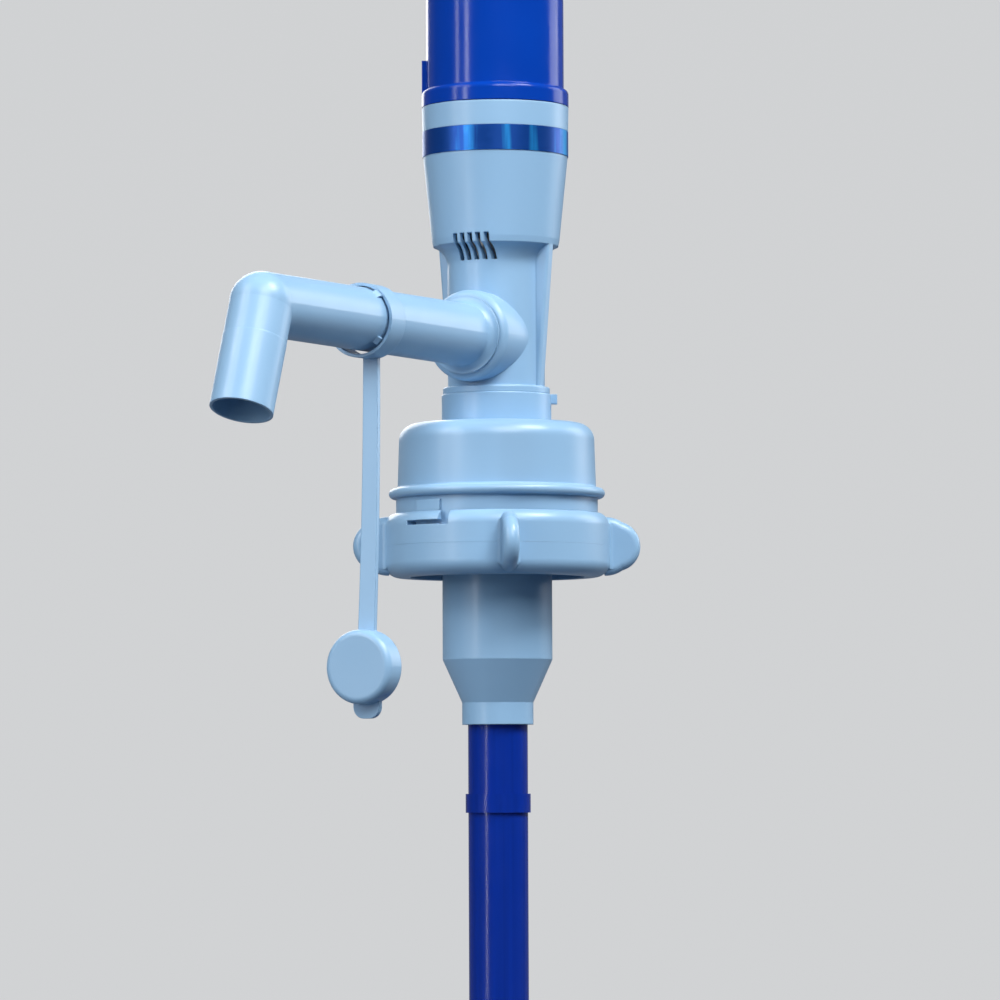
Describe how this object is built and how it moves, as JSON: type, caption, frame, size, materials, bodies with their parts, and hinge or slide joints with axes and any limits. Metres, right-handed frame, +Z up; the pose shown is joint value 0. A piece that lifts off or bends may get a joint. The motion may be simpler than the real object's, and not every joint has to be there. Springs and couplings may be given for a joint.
{
  "type": "electric water jug pump",
  "caption": "Battery pump head that clamps on a large water bottle's neck, with a blue grip handle, a bent spout with a tethered cap and a long riser tube.",
  "frame": {"origin": "on the pump's axis, in the plane where the bottle's rim seats against the rubber seal", "axes": "+Z up along the pump's axis towards the handle, -Y along the spout's arm, +X completes the frame"},
  "size_m": [0.0772, 0.2068, 0.6845],
  "materials": {
    "pale_plastic": "satin moulded plastic",
    "handle_plastic": "gloss moulded plastic",
    "tube_plastic": "clear blue tube",
    "rubber": "matt",
    "white_plastic": "matt",
    "black_plastic": "matt",
    "button_plastic": "satin",
    "steel": "brushed",
    "motor_can": "plated",
    "brass": "turned",
    "foil": "blue metallic foil",
    "lead_cover": "smooth",
    "board": "solder mask",
    "lens": "clear",
    "cell_jacket": "shrink film"
  },
  "bodies": {
    "pump": {"base_cup": "pale_plastic", "neck_seal": "rubber", "grip_collet": "pale_plastic", "tube_adaptor": "pale_plastic", "adaptor_seal": "rubber", "riser_upper": "tube_plastic", "tube_joiner": "tube_plastic", "riser_lower": "tube_plastic", "shaft_guides": "white_plastic", "inlet_foot": "tube_plastic", "foot_bush": "brass", "pump_body": "pale_plastic", "body_seal": "rubber", "label_band": "foil", "motor": "motor_can", "motor_plate": "white_plastic", "motor_screws": "steel", "shaft_seal": "rubber", "motor_leads": "lead_cover", "handle_shell": "handle_plastic", "handle_cap": "handle_plastic", "push_switch": "black_plastic", "control_board": "board", "indicator_lens": "lens", "charge_jack": "black_plastic", "battery_cells": "cell_jacket", "cell_carrier": "white_plastic", "cell_links": "steel"},
    "clamp": {"clamp_ring": "pale_plastic"},
    "rotor": {"drive_shaft": "steel", "shaft_coupling": "steel", "impeller": "white_plastic", "motor_shaft": "steel"},
    "spout": {"spout": "pale_plastic", "spout_seal": "rubber"},
    "tether": {"cap_tether": "pale_plastic"},
    "button": {"power_button": "button_plastic", "switch_plunger": "white_plastic"}
  },
  "joints": [
    {"name": "clamp_turn", "type": "hinge", "parent": "pump", "child": "clamp", "pos_m": [0, 0, -0.0128], "axis": [0, 0, 1], "range_deg": [0, 45]},
    {"name": "rotor_spin", "type": "hinge", "parent": "pump", "child": "rotor", "pos_m": [0, 0, 0], "axis": [0, 0, 1], "continuous": true},
    {"name": "spout_turn", "type": "hinge", "parent": "pump", "child": "spout", "pos_m": [0, -0.021, 0.053], "axis": [0, -1, 0], "continuous": true},
    {"name": "tether_swing", "type": "hinge", "parent": "pump", "child": "tether", "pos_m": [0, -0.085, 0.053], "axis": [0, -1, 0], "continuous": true},
    {"name": "button_press", "type": "slide", "parent": "pump", "child": "button", "axis": [0, 0, -1], "range_m": [0, 0.002], "stiffness_N_per_m": 400}
  ]
}
